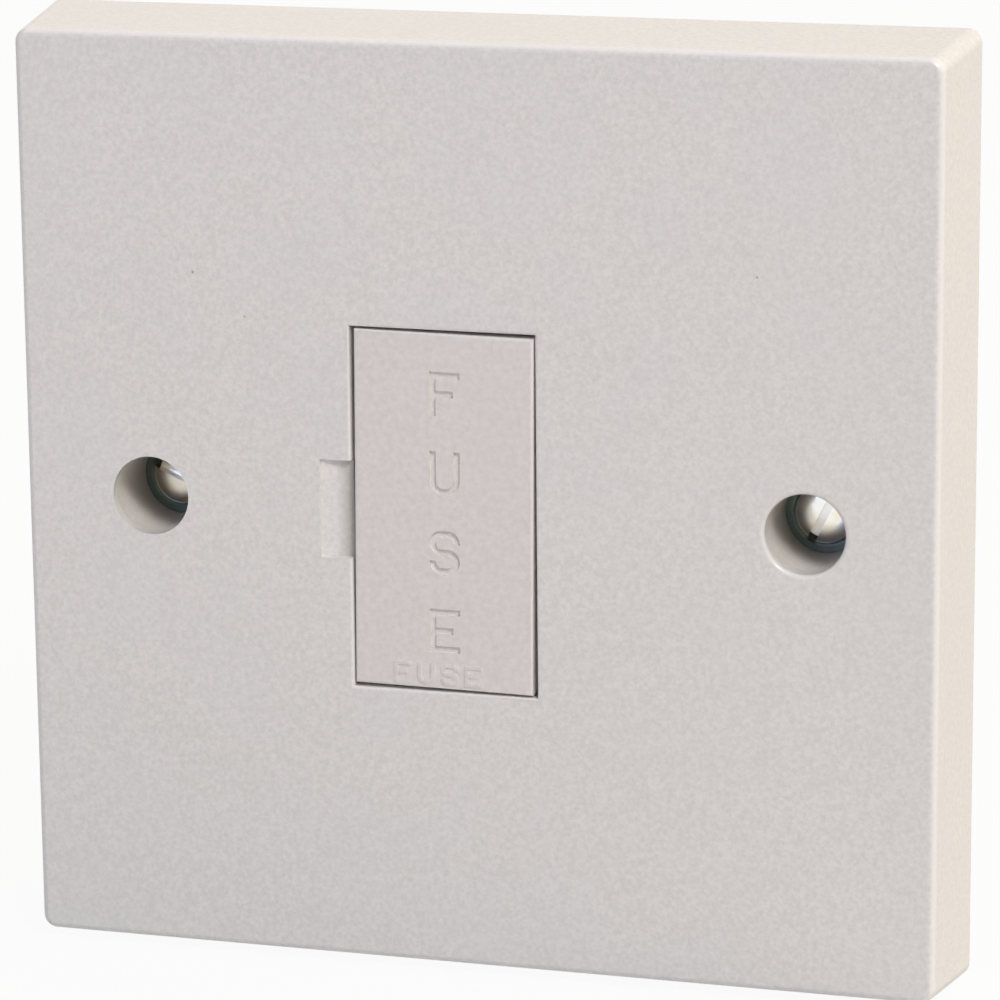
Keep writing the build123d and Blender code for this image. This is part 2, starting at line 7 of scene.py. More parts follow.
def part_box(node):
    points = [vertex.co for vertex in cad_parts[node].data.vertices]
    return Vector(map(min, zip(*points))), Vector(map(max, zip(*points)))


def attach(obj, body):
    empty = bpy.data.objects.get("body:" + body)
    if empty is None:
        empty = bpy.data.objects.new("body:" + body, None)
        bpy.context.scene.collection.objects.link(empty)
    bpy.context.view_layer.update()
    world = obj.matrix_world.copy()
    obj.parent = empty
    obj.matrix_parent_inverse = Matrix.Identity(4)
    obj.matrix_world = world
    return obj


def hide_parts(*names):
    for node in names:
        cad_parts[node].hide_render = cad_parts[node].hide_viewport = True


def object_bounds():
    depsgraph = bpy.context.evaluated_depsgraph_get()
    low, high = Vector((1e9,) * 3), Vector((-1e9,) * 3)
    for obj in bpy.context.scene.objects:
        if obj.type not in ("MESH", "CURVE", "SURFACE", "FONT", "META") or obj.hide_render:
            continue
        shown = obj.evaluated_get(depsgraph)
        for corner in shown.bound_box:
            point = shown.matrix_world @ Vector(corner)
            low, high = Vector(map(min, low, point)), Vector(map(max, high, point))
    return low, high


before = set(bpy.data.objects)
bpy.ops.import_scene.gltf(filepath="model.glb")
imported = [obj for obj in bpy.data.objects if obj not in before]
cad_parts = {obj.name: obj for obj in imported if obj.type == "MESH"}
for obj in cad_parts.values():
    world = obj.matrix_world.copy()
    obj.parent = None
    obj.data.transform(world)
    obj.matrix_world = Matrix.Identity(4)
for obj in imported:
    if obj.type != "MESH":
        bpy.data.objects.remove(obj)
cad_box = [list(corner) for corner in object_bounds()]

# Front plate: the square white cover, pressed in one piece from urea with its ribs, bosses and
# housing seat behind. The mould's spark-worn skin leaves it matt with a fine even grain.
# Two screws through its deep holes hold it to the wall box.
mm = 0.001
front_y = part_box("front_plate")[0].y
plate_light = "#EFEAE3"
plate_dark = "#DFDAD3"
plate_cloud = "#E5E1DD"
plate_grain = 0.42 * mm
plate_roughness = 0.4
plate_flecks = [(-25.6, 20.7, 0.17), (25.9, 22.6, 0.13), (-20.8, 16.9, 0.1)]  # x, z, radius in mm
fleck_brown = "#6A5B50"
fleck_core_share = 0.4
fleck_strength = 0.6
speck_spacing = 4.5 * mm
speck_core, speck_rim = 0.08 * mm, 0.16 * mm
speck_share = 0.3
speck_strength = 0.35
cloud_width = 9 * mm
cloud_strength = 0.25
grain_relief = 0.03 * mm
grain_polish = 0.06
plastic_ior = 1.55
# Painted highlight: the paler white mixed into the rounded front edges, and how strongly.
highlight_white = "#F7F4F2"
highlight_strength = 0.6
edge_roughness = 0.24
edge_start, edge_end = 0.55 * mm, 0.85 * mm
edge_flat, edge_turned = -0.93, -0.8
weld_reach = 0.0005 * mm
flat_angle = radians(0.05)
soft_angle = radians(38)


def linear(code):
    """The linear colour of an sRGB hex code."""
    parts = [int(code[i:i + 2], 16) / 255 for i in (1, 3, 5)]
    return [p / 12.92 if p <= 0.04045 else ((p + 0.055) / 1.055) ** 2.4 for p in parts] + [1]


def add(tree, kind, links=None, **settings):
    """A new shader node with its settings, and its inputs linked or set by name or number."""
    node = tree.nodes.new("ShaderNode" + kind)
    for key, value in settings.items():
        setattr(node, key, value)
    for socket, source in (links or {}).items():
        if isinstance(source, bpy.types.NodeSocket):
            tree.links.new(source, node.inputs[socket])
        else:
            node.inputs[socket].default_value = source
    return node


def new_finish(name):
    """An empty finish: the material, its node tree, its shader and the object's coordinates."""
    material = bpy.data.materials.new(name)
    material.use_nodes = True
    tree = material.node_tree
    return material, tree, tree.nodes["Principled BSDF"], add(tree, "TexCoord").outputs["Object"]


def moulded(name, light, dark, cloud, grain, roughness, flecks=(), face_y=None):
    """Moulded plastic. The grain of the mould breaks the light up into a soft mottle, the flow of
    the melt leaves faint clouds, and burnt grains show as a few dark flecks. Where a front face is
    given, the rounded edges just behind it are smoother, and a paler colour is painted on them as a
    highlight."""
    material, tree, shader, place = new_finish(name)

    # Grain and clouds
    mottle = add(
        tree, "TexNoise", {"Vector": place, "Scale": 1 / grain, "Detail": 3, "Roughness": 0.6}
    )
    spread = {"Value": mottle.outputs["Fac"], "From Min": 0.3, "From Max": 0.7}
    tone = add(tree, "MapRange", spread)
    grained = add(
        tree, "Mix", {0: tone.outputs["Result"], 6: linear(dark), 7: linear(light)},
        data_type="RGBA",
    )
    flow = add(tree, "TexNoise", {"Vector": place, "Scale": 1 / cloud_width, "Detail": 2})
    drift = add(
        tree, "MapRange",
        {"Value": flow.outputs["Fac"], "From Min": 0.42, "From Max": 0.7, "To Max": cloud_strength},
    )
    clouded = add(
        tree, "Mix", {0: drift.outputs["Result"], 6: grained.outputs[2], 7: linear(cloud)},
        data_type="RGBA",
    )

    # Faint specks scattered all over, and darker flecks at the places given
    cells = add(tree, "TexVoronoi", {"Vector": place, "Scale": 1 / speck_spacing})
    near = add(
        tree, "MapRange",
        {"Value": cells.outputs["Distance"], "From Min": speck_core / speck_spacing,
         "From Max": speck_rim / speck_spacing, "To Min": speck_strength, "To Max": 0.0},
    )
    picked = add(tree, "Math", {0: cells.outputs["Color"], 1: speck_share}, operation="LESS_THAN")
    spots = add(
        tree, "Math", {0: near.outputs["Result"], 1: picked.outputs["Value"]}, operation="MULTIPLY"
    )
    for x, z, radius in flecks:
        away = add(
            tree, "VectorMath", {0: place, 1: (x * mm, face_y, z * mm)}, operation="DISTANCE"
        )
        spot = add(
            tree, "MapRange",
            {"Value": away.outputs["Value"], "From Min": fleck_core_share * radius * mm,
             "From Max": radius * mm, "To Min": fleck_strength, "To Max": 0.0},
        )
        spots = add(
            tree, "Math", {0: spots.outputs["Value"], 1: spot.outputs["Result"]},
            operation="MAXIMUM",
        )
    flecked = add(
        tree, "Mix", {0: spots.outputs["Value"], 6: clouded.outputs[2], 7: linear(fleck_brown)},
        data_type="RGBA",
    )
    colour = flecked.outputs[2]
    polish = add(
        tree, "MapRange",
        {**spread, "To Min": roughness - grain_polish, "To Max": roughness + grain_polish},
    ).outputs["Result"]

    # Smoother edges round the front face, with a paler colour painted on them as a highlight
    if face_y is not None:
        depth = add(tree, "SeparateXYZ", {"Vector": place}).outputs["Y"]
        ended = add(
            tree, "MapRange",
            {"Value": depth, "From Min": face_y + edge_end, "From Max": face_y + edge_start},
        )
        normal = add(tree, "TexCoord").outputs["Normal"]
        facing = add(tree, "SeparateXYZ", {"Vector": normal}).outputs["Y"]
        turned = add(
            tree, "MapRange", {"Value": facing, "From Min": edge_flat, "From Max": edge_turned}
        )
        edge = add(
            tree, "Math", {0: turned.outputs["Result"], 1: ended.outputs["Result"]},
            operation="MULTIPLY",
        )
        # Painted highlight: the edges' colour is mixed towards the paler white.
        pale = add(
            tree, "Math", {0: edge.outputs["Value"], 1: highlight_strength}, operation="MULTIPLY"
        )
        colour = add(
            tree, "Mix", {0: pale.outputs["Value"], 6: colour, 7: linear(highlight_white)},
            data_type="RGBA",
        ).outputs[2]
        polish = add(
            tree, "Mix", {0: edge.outputs["Value"], 2: polish, 3: edge_roughness}
        ).outputs[0]

    relief = add(
        tree, "Bump", {"Height": mottle.outputs["Fac"], "Strength": 0.5, "Distance": grain_relief}
    )
    tree.links.new(colour, shader.inputs["Base Color"])
    tree.links.new(polish, shader.inputs["Roughness"])
    tree.links.new(relief.outputs["Normal"], shader.inputs["Normal"])
    shader.inputs["IOR"].default_value = plastic_ior
    return material


def joined(node, name, body, material):
    """Makes a piece of the node's solid, its triangles joined so that soft edges shade as curves."""
    piece = bpy.data.objects.new(name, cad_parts[node].data.copy())
    bpy.context.scene.collection.objects.link(piece)
    bpy.ops.object.select_all(action="DESELECT")
    bpy.context.view_layer.objects.active = piece
    piece.select_set(True)
    bpy.ops.object.mode_set(mode="EDIT")
    bpy.ops.mesh.select_all(action="SELECT")
    bpy.ops.mesh.remove_doubles(threshold=weld_reach)
    bpy.ops.mesh.dissolve_limited(angle_limit=flat_angle)
    bpy.ops.object.mode_set(mode="OBJECT")
    bpy.ops.mesh.customdata_custom_splitnormals_clear()
    bpy.ops.object.shade_smooth_by_angle(angle=soft_angle)
    piece.modifiers.new("flat faces stay flat", "WEIGHTED_NORMAL").keep_sharp = True
    bpy.ops.object.modifier_apply(modifier="flat faces stay flat")
    piece.data.materials.clear()
    piece.data.materials.append(material)
    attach(piece, body)
    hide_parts(node)


# Urea looks like a chalky, slightly warm white, with broad dim highlights.
plate_urea = moulded(
    "white urea, matt moulded", plate_light, plate_dark, plate_cloud, plate_grain, plate_roughness,
    plate_flecks, front_y,
)
joined("front_plate", "plate", "unit", plate_urea)

# Painted shade: the plate's colour is mixed towards brown deep in its screw holes and at the deep
# end of the notch, beside the carrier, where shade falls.
painted_shade_brown = "#6E5B4B"
solid_head_radius = 2.8 * mm
hole_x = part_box("fixing_screws")[1].x - solid_head_radius
hole_reach = 4.2 * mm
hole_unshaded_y, hole_shaded_y = -9 * mm, -4 * mm
hole_shade = 0.55
lid_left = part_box("fuse_carrier")[0].x
notch_shade_reach = 1.7 * mm
notch_shallow_y, notch_deep_y = front_y + 0.1 * mm, front_y + 1.5 * mm
notch_low, notch_high = -4.7 * mm, 4.3 * mm
notch_shade = 0.62
tree = plate_urea.node_tree
base = tree.nodes["Principled BSDF"].inputs["Base Color"]
unshaded = base.links[0].from_socket
at = add(tree, "SeparateXYZ", {"Vector": add(tree, "TexCoord").outputs["Object"]}).outputs
beside = add(tree, "Math", {0: at["X"]}, operation="ABSOLUTE")
off_axis = add(tree, "Math", {0: beside.outputs["Value"], 1: hole_x}, operation="SUBTRACT")
spoke = add(tree, "CombineXYZ", {"X": off_axis.outputs["Value"], "Z": at["Z"]})
away = add(tree, "VectorMath", {0: spoke.outputs["Vector"]}, operation="LENGTH")
in_hole = add(tree, "Math", {0: away.outputs["Value"], 1: hole_reach}, operation="LESS_THAN")
# Painted shade in the screw holes: browner the further behind the face.
depth = add(
    tree, "MapRange",
    {"Value": at["Y"], "From Min": hole_unshaded_y, "From Max": hole_shaded_y, "To Max": hole_shade},
)
shaded = add(
    tree, "Math", {0: in_hole.outputs["Value"], 1: depth.outputs["Result"]}, operation="MULTIPLY"
)
# Painted shade in the notch: browner towards the carrier's edge, inside the notch's box.
notch_shaded = add(
    tree, "MapRange",
    {"Value": at["X"], "From Min": lid_left - notch_shade_reach, "From Max": lid_left,
     "To Max": notch_shade},
)
for axis, limit, side in (
    ("X", lid_left, "LESS_THAN"),
    ("Y", notch_shallow_y, "GREATER_THAN"), ("Y", notch_deep_y, "LESS_THAN"),
    ("Z", notch_low, "GREATER_THAN"), ("Z", notch_high, "LESS_THAN"),
):
    within = add(tree, "Math", {0: at[axis], 1: limit}, operation=side)
    notch_shaded = add(
        tree, "Math", {0: notch_shaded.outputs[0], 1: within.outputs["Value"]}, operation="MULTIPLY"
    )
shaded = add(
    tree, "Math", {0: shaded.outputs["Value"], 1: notch_shaded.outputs["Value"]}, operation="MAXIMUM"
)
# The painted shade mixes the plate's own colour towards brown.
shade_painted = add(
    tree, "Mix", {0: shaded.outputs["Value"], 6: unshaded, 7: linear(painted_shade_brown)}, data_type="RGBA"
)
tree.links.new(shade_painted.outputs[2], base)

# Fuse carrier: the pull-out drawer, moulded in a slightly pinker and smoother white plastic.
# Its lid lies flush in the plate with the word cut into it, and two arms keep it captive.
carrier_light = "#ECE4DD"
carrier_dark = "#DFD7D1"
carrier_cloud = "#E5DDDA"
carrier_grain = 0.6 * mm
carrier_roughness = 0.36

# Polyamide has a softer grain than the plate and a little more sheen.
carrier_plastic = moulded(
    "white polyamide, satin moulded", carrier_light, carrier_dark, carrier_cloud, carrier_grain,
    carrier_roughness, face_y=front_y,
)
joined("fuse_carrier", "carrier", "carrier", carrier_plastic)

# Cartridge fuse: a fired ceramic tube, pressed into two drawn caps of nickel-plated brass, with
# the fusible wire soldered between them. It sits in the carrier's snap cradle.
ceramic_white = "#EFEAE0"
ceramic_shade = "#E2DBCE"
nickel = "#D3CFC6"
nickel_dull = "#A9A398"
tinned = "#C2BEB6"
tinned_dull = "#9A968E"
patch_width = 6 * mm
tarnish_strength = 0.7
line_share = 0.35
line_stretch = 40
line_relief = 0.01 * mm
line_smooth, line_rough = 0.75, 1.3
lines_along_x, lines_along_y, lines_along_z = range(3)


def metal(name, bright, dull, roughness, line, along):
    """Bare or plated metal. Tool lines run along one axis and shade its colour a little, and
    handling dulls it in faint wide patches, so that its reflections break up."""
    material, tree, shader, place = new_finish(name)
    fine = [1 / line] * 3
    fine[along] = 1 / (line_stretch * line)
    drawn = add(tree, "Mapping", {"Vector": place, "Scale": fine})
    lines = add(tree, "TexNoise", {"Vector": drawn.outputs["Vector"], "Scale": 1, "Detail": 2})
    patch = add(tree, "TexNoise", {"Vector": place, "Scale": 1 / patch_width, "Detail": 2})
    tarnish = add(tree, "Mix", {0: line_share, 2: patch.outputs["Fac"], 3: lines.outputs["Fac"]})
    worn = add(
        tree, "MapRange",
        {"Value": tarnish.outputs[0], "From Min": 0.35, "From Max": 0.75,
         "To Max": tarnish_strength},
    )
    colour = add(
        tree, "Mix", {0: worn.outputs["Result"], 6: linear(bright), 7: linear(dull)},
        data_type="RGBA",
    )
    polish = add(
        tree, "MapRange",
        {"Value": lines.outputs["Fac"], "From Min": 0.3, "From Max": 0.7,
         "To Min": line_smooth * roughness, "To Max": line_rough * roughness},
    )
    relief = add(
        tree, "Bump", {"Height": lines.outputs["Fac"], "Strength": 0.3, "Distance": line_relief}
    )
    tree.links.new(colour.outputs[2], shader.inputs["Base Color"])
    tree.links.new(polish.outputs["Result"], shader.inputs["Roughness"])
    tree.links.new(relief.outputs["Normal"], shader.inputs["Normal"])
    shader.inputs["Metallic"].default_value = 1
    return material


# The ceramic is ivory with a low satin sheen, the nickel a warm silver with draw lines down each
# cap, and the tinned wire a duller grey.
ceramic = moulded(
    "fired ceramic, satin", ceramic_white, ceramic_shade, ceramic_white, 0.25 * mm, 0.35
)
cap_nickel = metal("nickel plate, drawn", nickel, nickel_dull, 0.22, 0.05 * mm, lines_along_z)
wire_tin = metal("tinned wire", tinned, tinned_dull, 0.35, 0.03 * mm, lines_along_z)
joined("fuse_tube", "fuse_body", "carrier", ceramic)
for end in ("upper", "lower"):
    joined("fuse_cap_" + end, "fuse_end_" + end, "carrier", cap_nickel)
joined("fuse_wire", "fuse_link", "carrier", wire_tin)

# Clips, link and earth strap: blanked and bent from brass sheet, the clips sprung round the fuse
# caps, the link between the neutral terminals and the strap from the earth terminal to both
# fixing holes.
sheet_yellow = "#DDBD77"
sheet_dull = "#B8934F"

# Rolled brass is a warm yellow with long fine lines and a soft sheen.
sheet_brass = metal(
    "brass sheet, rolled", sheet_yellow, sheet_dull, 0.3, 0.06 * mm, lines_along_z
)
for end in ("upper", "lower"):
    joined("fuse_contact_" + end, "fuse_clip_" + end, "unit", sheet_brass)
joined("neutral_link", "neutral_bar", "unit", sheet_brass)
joined("earth_strap", "earth_bar", "unit", sheet_brass)

# Terminals: brass blocks sawn from extruded bar, bored for the wire and tapped for a screw. They
# drop into the housing's pockets and the plate's posts hold them there.
block_yellow = "#E0C07C"
block_dull = "#C09B55"

# The saw leaves coarser lines across each block.
block_brass = metal(
    "brass bar, sawn and bored", block_yellow, block_dull, 0.28, 0.12 * mm, lines_along_x
)
for job in ("supply_live", "load_live", "supply_neutral", "load_neutral", "earth"):
    joined(job + "_terminal", job + "_block", "unit", block_brass)

# Clamp screws: turned from brass rod with a slotted cheese head, one behind each wire bore,
# backed off so that the bores stand open.
turned_yellow = "#E2C583"
turned_dull = "#C4A05C"

# Turned brass is the brightest of the three, with fine facing lines on each head.
turned_brass = metal(
    "brass rod, turned", turned_yellow, turned_dull, 0.24, 0.08 * mm, lines_along_x
)
joined("terminal_screws", "clamp_screws", "unit", turned_brass)

# Rear housing: a pale grey phenolic box with a pocket for each terminal, holes for the clamp
# screws behind and for the wires above and below. It stands on the plate's seat.
housing_light = "#D9D5CD"
housing_dark = "#CDC8BF"
housing_cloud = "#D0CBC4"
housing_grain = 0.5 * mm
housing_roughness = 0.58

# Phenolic is flatter and duller to the eye than the plate.
housing_plastic = moulded(
    "pale grey phenolic, matt moulded", housing_light, housing_dark, housing_cloud, housing_grain,
    housing_roughness,
)
joined("rear_housing", "terminal_housing", "unit", housing_plastic)

# Terminal marks: the letter of each terminal and the two words for its side, raised on the back
# of the housing by the same mould and so of the same plastic.
mark_height = 2.6 * mm
mark_proud = 0.3 * mm
mark_sunk = 0.05 * mm
mark_swell = 0.08 * mm
mark_drop = 5.6 * mm
heading_drop = 11.2 * mm
font_capital = 0.73
sliver = 0.001 * mm
marks = []
for node, letter in (
    ("supply_live_terminal", "L"), ("load_live_terminal", "L"), ("supply_neutral_terminal", "N"),
    ("load_neutral_terminal", "N"), ("earth_terminal", "E"),
):
    low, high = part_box(node)
    middle = (low + high) / 2
    inward = -mark_drop if middle.z > 0 else mark_drop
    marks.append((letter, middle.x, middle.z + inward))
housing_low, housing_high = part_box("rear_housing")
housing_back = housing_high.y
housing_middle = (housing_low.x + housing_high.x) / 2
for heading, node, inward in (
    ("SUPPLY", "supply_live_terminal", -heading_drop), ("LOAD", "load_live_terminal", heading_drop)
):
    low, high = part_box(node)
    marks.append((heading, housing_middle, (low.z + high.z) / 2 + inward))
words = []
for text, x, z in marks:
    bpy.ops.object.select_all(action="DESELECT")
    bpy.ops.object.text_add()
    word = bpy.context.object
    word.data.body = text
    word.data.align_x = "CENTER"
    word.data.align_y = "CENTER"
    word.data.size = mark_height / font_capital
    word.data.extrude = (mark_proud + mark_sunk) / 2
    word.data.offset = mark_swell
    bpy.ops.object.convert(target="MESH")
    word.rotation_euler = (pi / 2, 0, pi)
    word.location = (x, housing_back + (mark_proud - mark_sunk) / 2, z)
    bpy.ops.object.transform_apply(location=True, rotation=True, scale=True)
    words.append(word)
bpy.ops.object.select_all(action="DESELECT")
for word in words:
    word.select_set(True)
bpy.context.view_layer.objects.active = words[0]
bpy.ops.object.join()
terminal_marks = bpy.context.object
terminal_marks.name = "terminal_marks"
bpy.ops.object.mode_set(mode="EDIT")
bpy.ops.mesh.select_all(action="SELECT")
bpy.ops.mesh.remove_doubles(threshold=sliver)
bpy.ops.mesh.normals_make_consistent(inside=False)
bpy.ops.object.mode_set(mode="OBJECT")
terminal_marks.data.materials.clear()
terminal_marks.data.materials.append(housing_plastic)
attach(terminal_marks, "unit")

# Housing screws: two steel tapping screws with pan heads and a cross recess, dull zinc plated,
# driven from behind into the plate's pillars.
tapping_grey = "#A9ABAB"
tapping_dull = "#7F8181"

# Dull zinc is a flat mid grey with hardly any glint.
tapping_zinc = metal(
    "dull zinc plate", tapping_grey, tapping_dull, 0.42, 0.07 * mm, lines_along_y
)
joined("housing_screws", "tapping_screws", "unit", tapping_zinc)

# Fixing eyelets: flanged steel bushes, blackened, pressed into the bosses from behind. Each has
# a cone for its screw head and ties the head to the earth strap.
eyelet_sheen = "#6C766F"
eyelet_black = "#373C39"

# Blackened steel is a deep greenish grey with a low oily sheen.
blackened_steel = metal(
    "blackened steel", eyelet_sheen, eyelet_black, 0.32, 0.06 * mm, lines_along_y
)
joined("fixing_eyelets", "eyelets", "unit", blackened_steel)

# Fixing screws: M3.5 steel machine screws with a raised countersunk head, slotted, bright zinc
# plated and passivated, so that blue and straw tints run over them. They stand in the eyelets
# with a rolled thread behind the wall plane.
head_radius = 2.74 * mm
head_dome = 0.5 * mm
dome_power = 5
dome_shares = (0.15, 0.35, 0.5, 0.62, 0.72, 0.8, 0.87, 0.93, 0.97, 1.0)
neck_radius = 1.49 * mm
neck_end = -0.2 * mm
root_radius = 1.38 * mm
thread_radius = 1.74 * mm
thread_pitch = 0.6 * mm
thread_base = 0.52 * mm
thread_crest_share = 0.2
thread_steps = 40
tooth_sunk = 0.1 * mm
tip_radius = 1.1 * mm
tip_length = 0.7 * mm
slot_width = 0.8 * mm
slot_depth = 0.9 * mm
slot_turns = {"left": 24, "right": -63}
broken_edge = 0.05 * mm
broken_angle = radians(50)
screw_soft_angle = radians(35)
screw_sides = 56
screw_top = -3.6 * mm
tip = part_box("fixing_screws")[1].y
rim = screw_top + head_dome
neck = rim + head_radius - neck_radius
rings = [
    (head_radius * share, screw_top + head_dome * share ** dome_power) for share in dome_shares
]
rings += [(neck_radius, neck), (neck_radius, neck_end), (root_radius, 0)]
rings += [(root_radius, tip - tip_length), (tip_radius, tip)]

# The blank is drawn out of a disc, ring by ring, along Z, and turned into the wall at the end.
bpy.ops.object.select_all(action="DESELECT")
bpy.ops.mesh.primitive_circle_add(
    vertices=screw_sides, radius=rings[0][0], fill_type="NGON", location=(0, 0, rings[0][1])
)
bpy.ops.object.transform_apply(location=True, rotation=True, scale=True)
blank = bpy.context.object
bpy.ops.object.mode_set(mode="EDIT")
bpy.ops.mesh.select_all(action="SELECT")
for (r0, z0), (r1, z1) in zip(rings, rings[1:]):
    bpy.ops.mesh.extrude_region_move(TRANSFORM_OT_translate={"value": (0, 0, z1 - z0)})
    bpy.ops.transform.resize(value=(r1 / r0, r1 / r0, 1), center_override=(0, 0, z1))
bpy.ops.mesh.select_all(action="SELECT")
bpy.ops.mesh.normals_make_consistent(inside=False)
bpy.ops.object.mode_set(mode="OBJECT")

# The slot is milled across the head, and every sharp edge of the head is broken.
bpy.ops.object.select_all(action="DESELECT")
bpy.ops.mesh.primitive_cube_add(size=1, location=(0, 0, screw_top))
cutter = bpy.context.object
cutter.scale = (4 * head_radius, slot_width, 2 * slot_depth)
bpy.ops.object.transform_apply(location=True, rotation=True, scale=True)
bpy.ops.object.select_all(action="DESELECT")
bpy.context.view_layer.objects.active = blank
blank.select_set(True)
milled = blank.modifiers.new("slot", "BOOLEAN")
milled.object = cutter
milled.operation = "DIFFERENCE"
bpy.ops.object.modifier_apply(modifier="slot")
bpy.data.objects.remove(cutter)
broken = blank.modifiers.new("broken edges", "BEVEL")
broken.width = broken_edge
broken.segments = 2
broken.angle_limit = broken_angle
bpy.ops.object.modifier_apply(modifier="broken edges")

# The thread is one tooth's section wound up the shank and closed at its two ends.
turns = int((tip - tip_length - thread_base) / thread_pitch)
tooth_depth = thread_radius - root_radius + tooth_sunk
tooth_middle = thread_radius - tooth_depth / 2
bpy.ops.object.select_all(action="DESELECT")
bpy.ops.mesh.primitive_plane_add(
    size=1, rotation=(pi / 2, 0, 0), location=(tooth_middle, 0, thread_base / 2)
)
thread = bpy.context.object
thread.scale = (tooth_depth, thread_base, 1)
bpy.ops.object.transform_apply(location=True, rotation=True, scale=True)
for vertex in thread.data.vertices:
    vertex.select = vertex.co.x > tooth_middle
bpy.ops.object.mode_set(mode="EDIT")
bpy.ops.transform.resize(
    value=(1, 1, thread_crest_share), center_override=(0, 0, thread_base / 2)
)
bpy.ops.mesh.select_all(action="SELECT")
bpy.ops.mesh.delete(type="ONLY_FACE")
bpy.ops.object.mode_set(mode="OBJECT")
wound = thread.modifiers.new("winding", "SCREW")
wound.axis = "Z"
wound.screw_offset = thread_pitch
wound.iterations = turns
wound.steps = thread_steps
wound.render_steps = thread_steps
wound.use_merge_vertices = False
bpy.ops.object.modifier_apply(modifier="winding")
bpy.ops.object.mode_set(mode="EDIT")
bpy.ops.mesh.select_all(action="DESELECT")
bpy.ops.mesh.select_non_manifold()
bpy.ops.mesh.fill_holes(sides=4)
bpy.ops.mesh.select_all(action="SELECT")
bpy.ops.mesh.normals_make_consistent(inside=False)
bpy.ops.object.mode_set(mode="OBJECT")
bpy.ops.object.select_all(action="DESELECT")
bpy.context.view_layer.objects.active = blank
blank.select_set(True)
rolled = blank.modifiers.new("thread", "BOOLEAN")
rolled.object = thread
rolled.operation = "UNION"
bpy.ops.object.modifier_apply(modifier="thread")
bpy.data.objects.remove(thread)
bpy.ops.object.mode_set(mode="EDIT")
bpy.ops.mesh.select_all(action="SELECT")
bpy.ops.mesh.remove_doubles(threshold=sliver)
bpy.ops.mesh.dissolve_degenerate(threshold=sliver)
bpy.ops.object.mode_set(mode="OBJECT")
bpy.ops.object.shade_smooth_by_angle(angle=screw_soft_angle)

# Bright zinc with its passivate tints, which run into each other over 2 mm or so. The shank is
# greyer than the head, from the oil that its thread was rolled in.
zinc_bright = "#FAF9F5"
zinc_blue = "#EAEEF1"
zinc_straw = "#F2E7C8"
zinc_oiled = "#B4B4AE"
oil_share = 0.6
tint_width = 2.2 * mm
scuff_width = 0.25 * mm
scuff_relief = 0.01 * mm
zinc, tree, shader, place = new_finish("bright zinc plate, passivated")
tint = add(tree, "TexNoise", {"Vector": place, "Scale": 1 / tint_width, "Detail": 1.5})
cool = add(tree, "MapRange", {"Value": tint.outputs["Fac"], "From Min": 0.48, "From Max": 0.75})
warm = add(tree, "MapRange", {"Value": tint.outputs["Fac"], "From Min": 0.52, "From Max": 0.25})
along = add(tree, "SeparateXYZ", {"Vector": place}).outputs["Y"]
oily = add(
    tree, "MapRange", {"Value": along, "From Min": rim, "From Max": neck, "To Max": oil_share}
)
blued = add(
    tree, "Mix", {0: cool.outputs["Result"], 6: linear(zinc_bright), 7: linear(zinc_blue)},
    data_type="RGBA",
)
tinted = add(
    tree, "Mix", {0: warm.outputs["Result"], 6: blued.outputs[2], 7: linear(zinc_straw)},
    data_type="RGBA",
)
greyed = add(
    tree, "Mix", {0: oily.outputs["Result"], 6: tinted.outputs[2], 7: linear(zinc_oiled)},
    data_type="RGBA",
)
scuff = add(tree, "TexNoise", {"Vector": place, "Scale": 1 / scuff_width, "Detail": 4})
polish = add(
    tree, "MapRange",
    {"Value": scuff.outputs["Fac"], "From Min": 0.3, "From Max": 0.7, "To Min": 0.1, "To Max": 0.2},
)
relief = add(
    tree, "Bump", {"Height": scuff.outputs["Fac"], "Strength": 0.2, "Distance": scuff_relief}
)
tree.links.new(greyed.outputs[2], shader.inputs["Base Color"])
tree.links.new(polish.outputs["Result"], shader.inputs["Roughness"])
tree.links.new(relief.outputs["Normal"], shader.inputs["Normal"])
shader.inputs["Metallic"].default_value = 1
blank.data.materials.clear()
blank.data.materials.append(zinc)
into_wall = Matrix.Rotation(-pi / 2, 4, "X")
for name, screw_x in (("left", -hole_x), ("right", hole_x)):
    screw = bpy.data.objects.new("fixing_screw_" + name, blank.data.copy())
    bpy.context.scene.collection.objects.link(screw)
    spun = Matrix.Rotation(radians(slot_turns[name]), 4, "Y")
    screw.matrix_world = Matrix.Translation((screw_x, 0, 0)) @ spun @ into_wall
    bpy.ops.object.select_all(action="DESELECT")
    bpy.context.view_layer.objects.active = screw
    screw.select_set(True)
    bpy.ops.object.transform_apply(location=True, rotation=True, scale=True)
    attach(screw, "unit")
    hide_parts("fixing_screws")
bpy.data.objects.remove(blank)

# Floor: a wide pale sheet under the plate's lower edge. The camera, gloss and glass see it nearly
# white, and the plain part of it that is left keeps the shadow.
floor_white = "#D6D5D3"
floor_width = 8
floor_roughness = 0.9
floor_seen = 0.94


def looked_at(tree):
    """1 where the camera looks, by itself or through gloss or glass, and 0 for other light."""
    path = add(tree, "LightPath").outputs
    seen = add(
        tree, "Math", {0: path["Is Camera Ray"], 1: path["Is Glossy Ray"]}, operation="MAXIMUM"
    )
    seen = add(
        tree, "Math", {0: seen.outputs["Value"], 1: path["Is Transmission Ray"]},
        operation="MAXIMUM",
    )
    return seen.outputs["Value"]


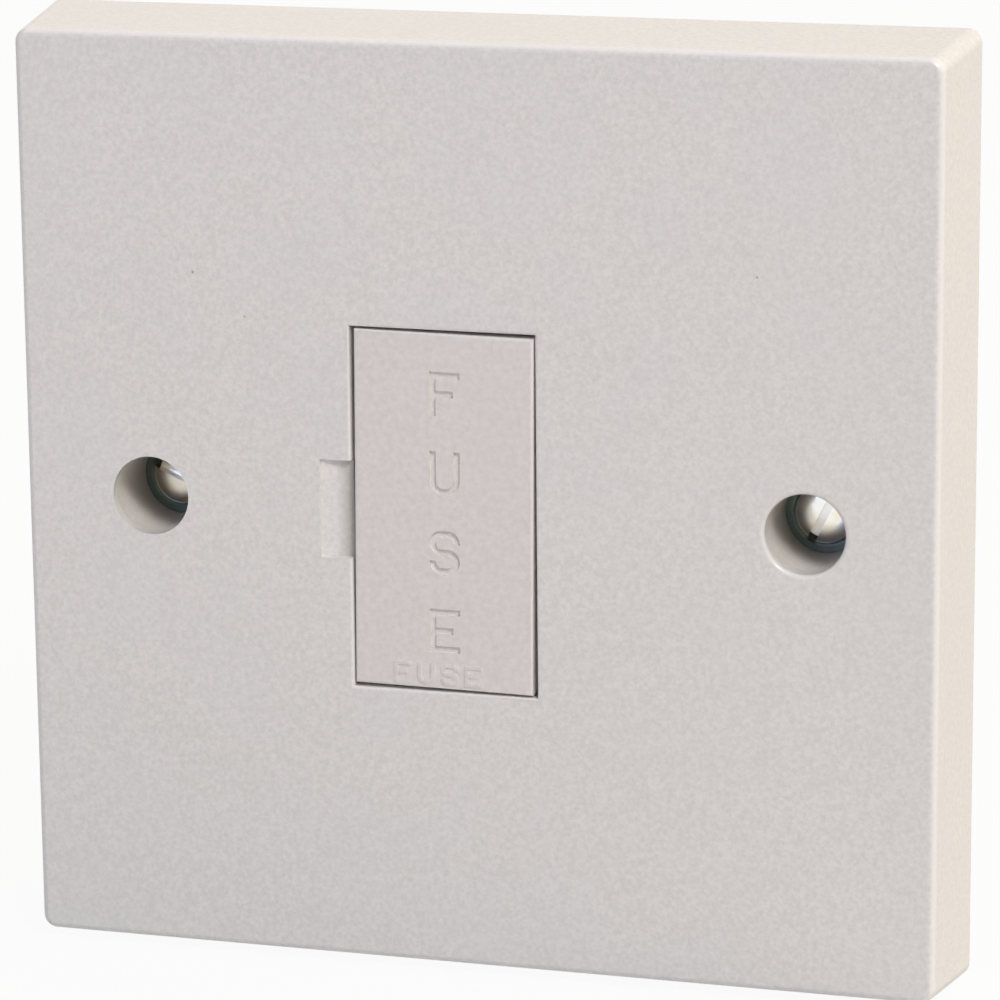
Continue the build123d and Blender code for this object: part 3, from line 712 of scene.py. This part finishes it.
bpy.ops.object.select_all(action="DESELECT")
bpy.ops.mesh.primitive_plane_add(size=floor_width, location=(0, 0, cad_box[0][2]))
floor = bpy.context.object
floor.name = "floor"
bpy.ops.object.transform_apply(location=True, rotation=True, scale=True)
sheet, tree, shader = new_finish("pale studio floor")[:3]
shader.inputs["Base Color"].default_value = linear(floor_white)
shader.inputs["Roughness"].default_value = floor_roughness
shader.inputs["Specular IOR Level"].default_value = 0
share = add(tree, "Math", {0: looked_at(tree), 1: floor_seen}, operation="MULTIPLY")
glow = add(tree, "Emission", {"Color": (1, 1, 1, 1), "Strength": 1})
both = add(
    tree, "MixShader",
    {0: share.outputs["Value"], 1: shader.outputs["BSDF"], 2: glow.outputs["Emission"]},
)
tree.links.new(both.outputs["Shader"], tree.nodes["Material Output"].inputs["Surface"])
floor.data.materials.append(sheet)

# Studio light: a key lamp in front, high on the right, a weak cool one low in front, a broad warm
# one above and a little behind, and a plain one behind on the left. A weak fill comes from all
# round, which the camera, gloss and glass see as white, and the two lamps behind leave no glare.
lamp_far = 2.5

# The way to each lamp, its width, its colour and its level
lamps = {
    "key lamp": (Vector((0.48, -0.58, 0.66)), 0.7, (1.0, 0.985, 0.965), 0.555),
    "front lamp": (Vector((-0.3, -0.94, 0.14)), 1.4, (0.34, 0.5, 1.0), 0.18),
    "edge lamp": (Vector((0.57, 0.28, 0.77)), 1.1, (1.0, 0.9, 0.81), 0.49),
    "rear lamp": (Vector((-0.5, 0.85, 0.12)), 1.4, (1.0, 1.0, 1.0), 0.4),
}
fill_colour = (1.0, 0.96, 0.89, 1)
fill_level = 0.175
for name, (towards, size, colour, level) in lamps.items():
    bpy.ops.object.light_add(type="AREA", location=towards.normalized() * lamp_far)
    lamp = bpy.context.object
    lamp.name = name
    lamp.rotation_euler = towards.to_track_quat("Z", "Y").to_euler()
    lamp.data.shape = "SQUARE"
    lamp.data.size = size
    lamp.data.color = colour
    lamp.data.energy = level * pi ** 2 * lamp_far ** 2
    lamp.visible_glossy = towards.y < 0
world = bpy.data.worlds.new("studio")
bpy.context.scene.world = world
world.use_nodes = True
tree = world.node_tree
fill = tree.nodes["Background"]
fill.inputs["Color"].default_value = fill_colour
fill.inputs["Strength"].default_value = fill_level
white = add(tree, "Background", {"Color": (1, 1, 1, 1), "Strength": 1})
both = add(
    tree, "MixShader",
    {0: looked_at(tree), 1: fill.outputs["Background"], 2: white.outputs["Background"]},
)
tree.links.new(both.outputs["Shader"], tree.nodes["World Output"].inputs["Surface"])
bpy.context.scene.view_settings.view_transform = "Standard"

# Camera: close in with a long lens, in front of the plate, above it and to its right, turned a
# little about its own axis.
view_azimuth = radians(16.551)
view_elevation = radians(13.756)
view_roll = radians(-0.57)
view_place = Vector((121.262, -410.531, 103.454)) * mm
view_lens = 174.99
view_sensor = 36
view_nearest = 10 * mm
bpy.ops.object.camera_add(location=view_place)
camera = bpy.context.object
camera.data.sensor_width = view_sensor
camera.data.lens = view_lens
camera.data.clip_start = view_nearest
backward = Vector((
    sin(view_azimuth) * cos(view_elevation),
    -cos(view_azimuth) * cos(view_elevation),
    sin(view_elevation),
))
level_right = Vector((0, 0, 1)).cross(backward).normalized()
level_up = backward.cross(level_right)
right = level_right * cos(view_roll) + level_up * sin(view_roll)
up = level_up * cos(view_roll) - level_right * sin(view_roll)
turned = Matrix((right, up, backward)).transposed().to_4x4()
camera.matrix_world = Matrix.Translation(view_place) @ turned
bpy.context.scene.camera = camera
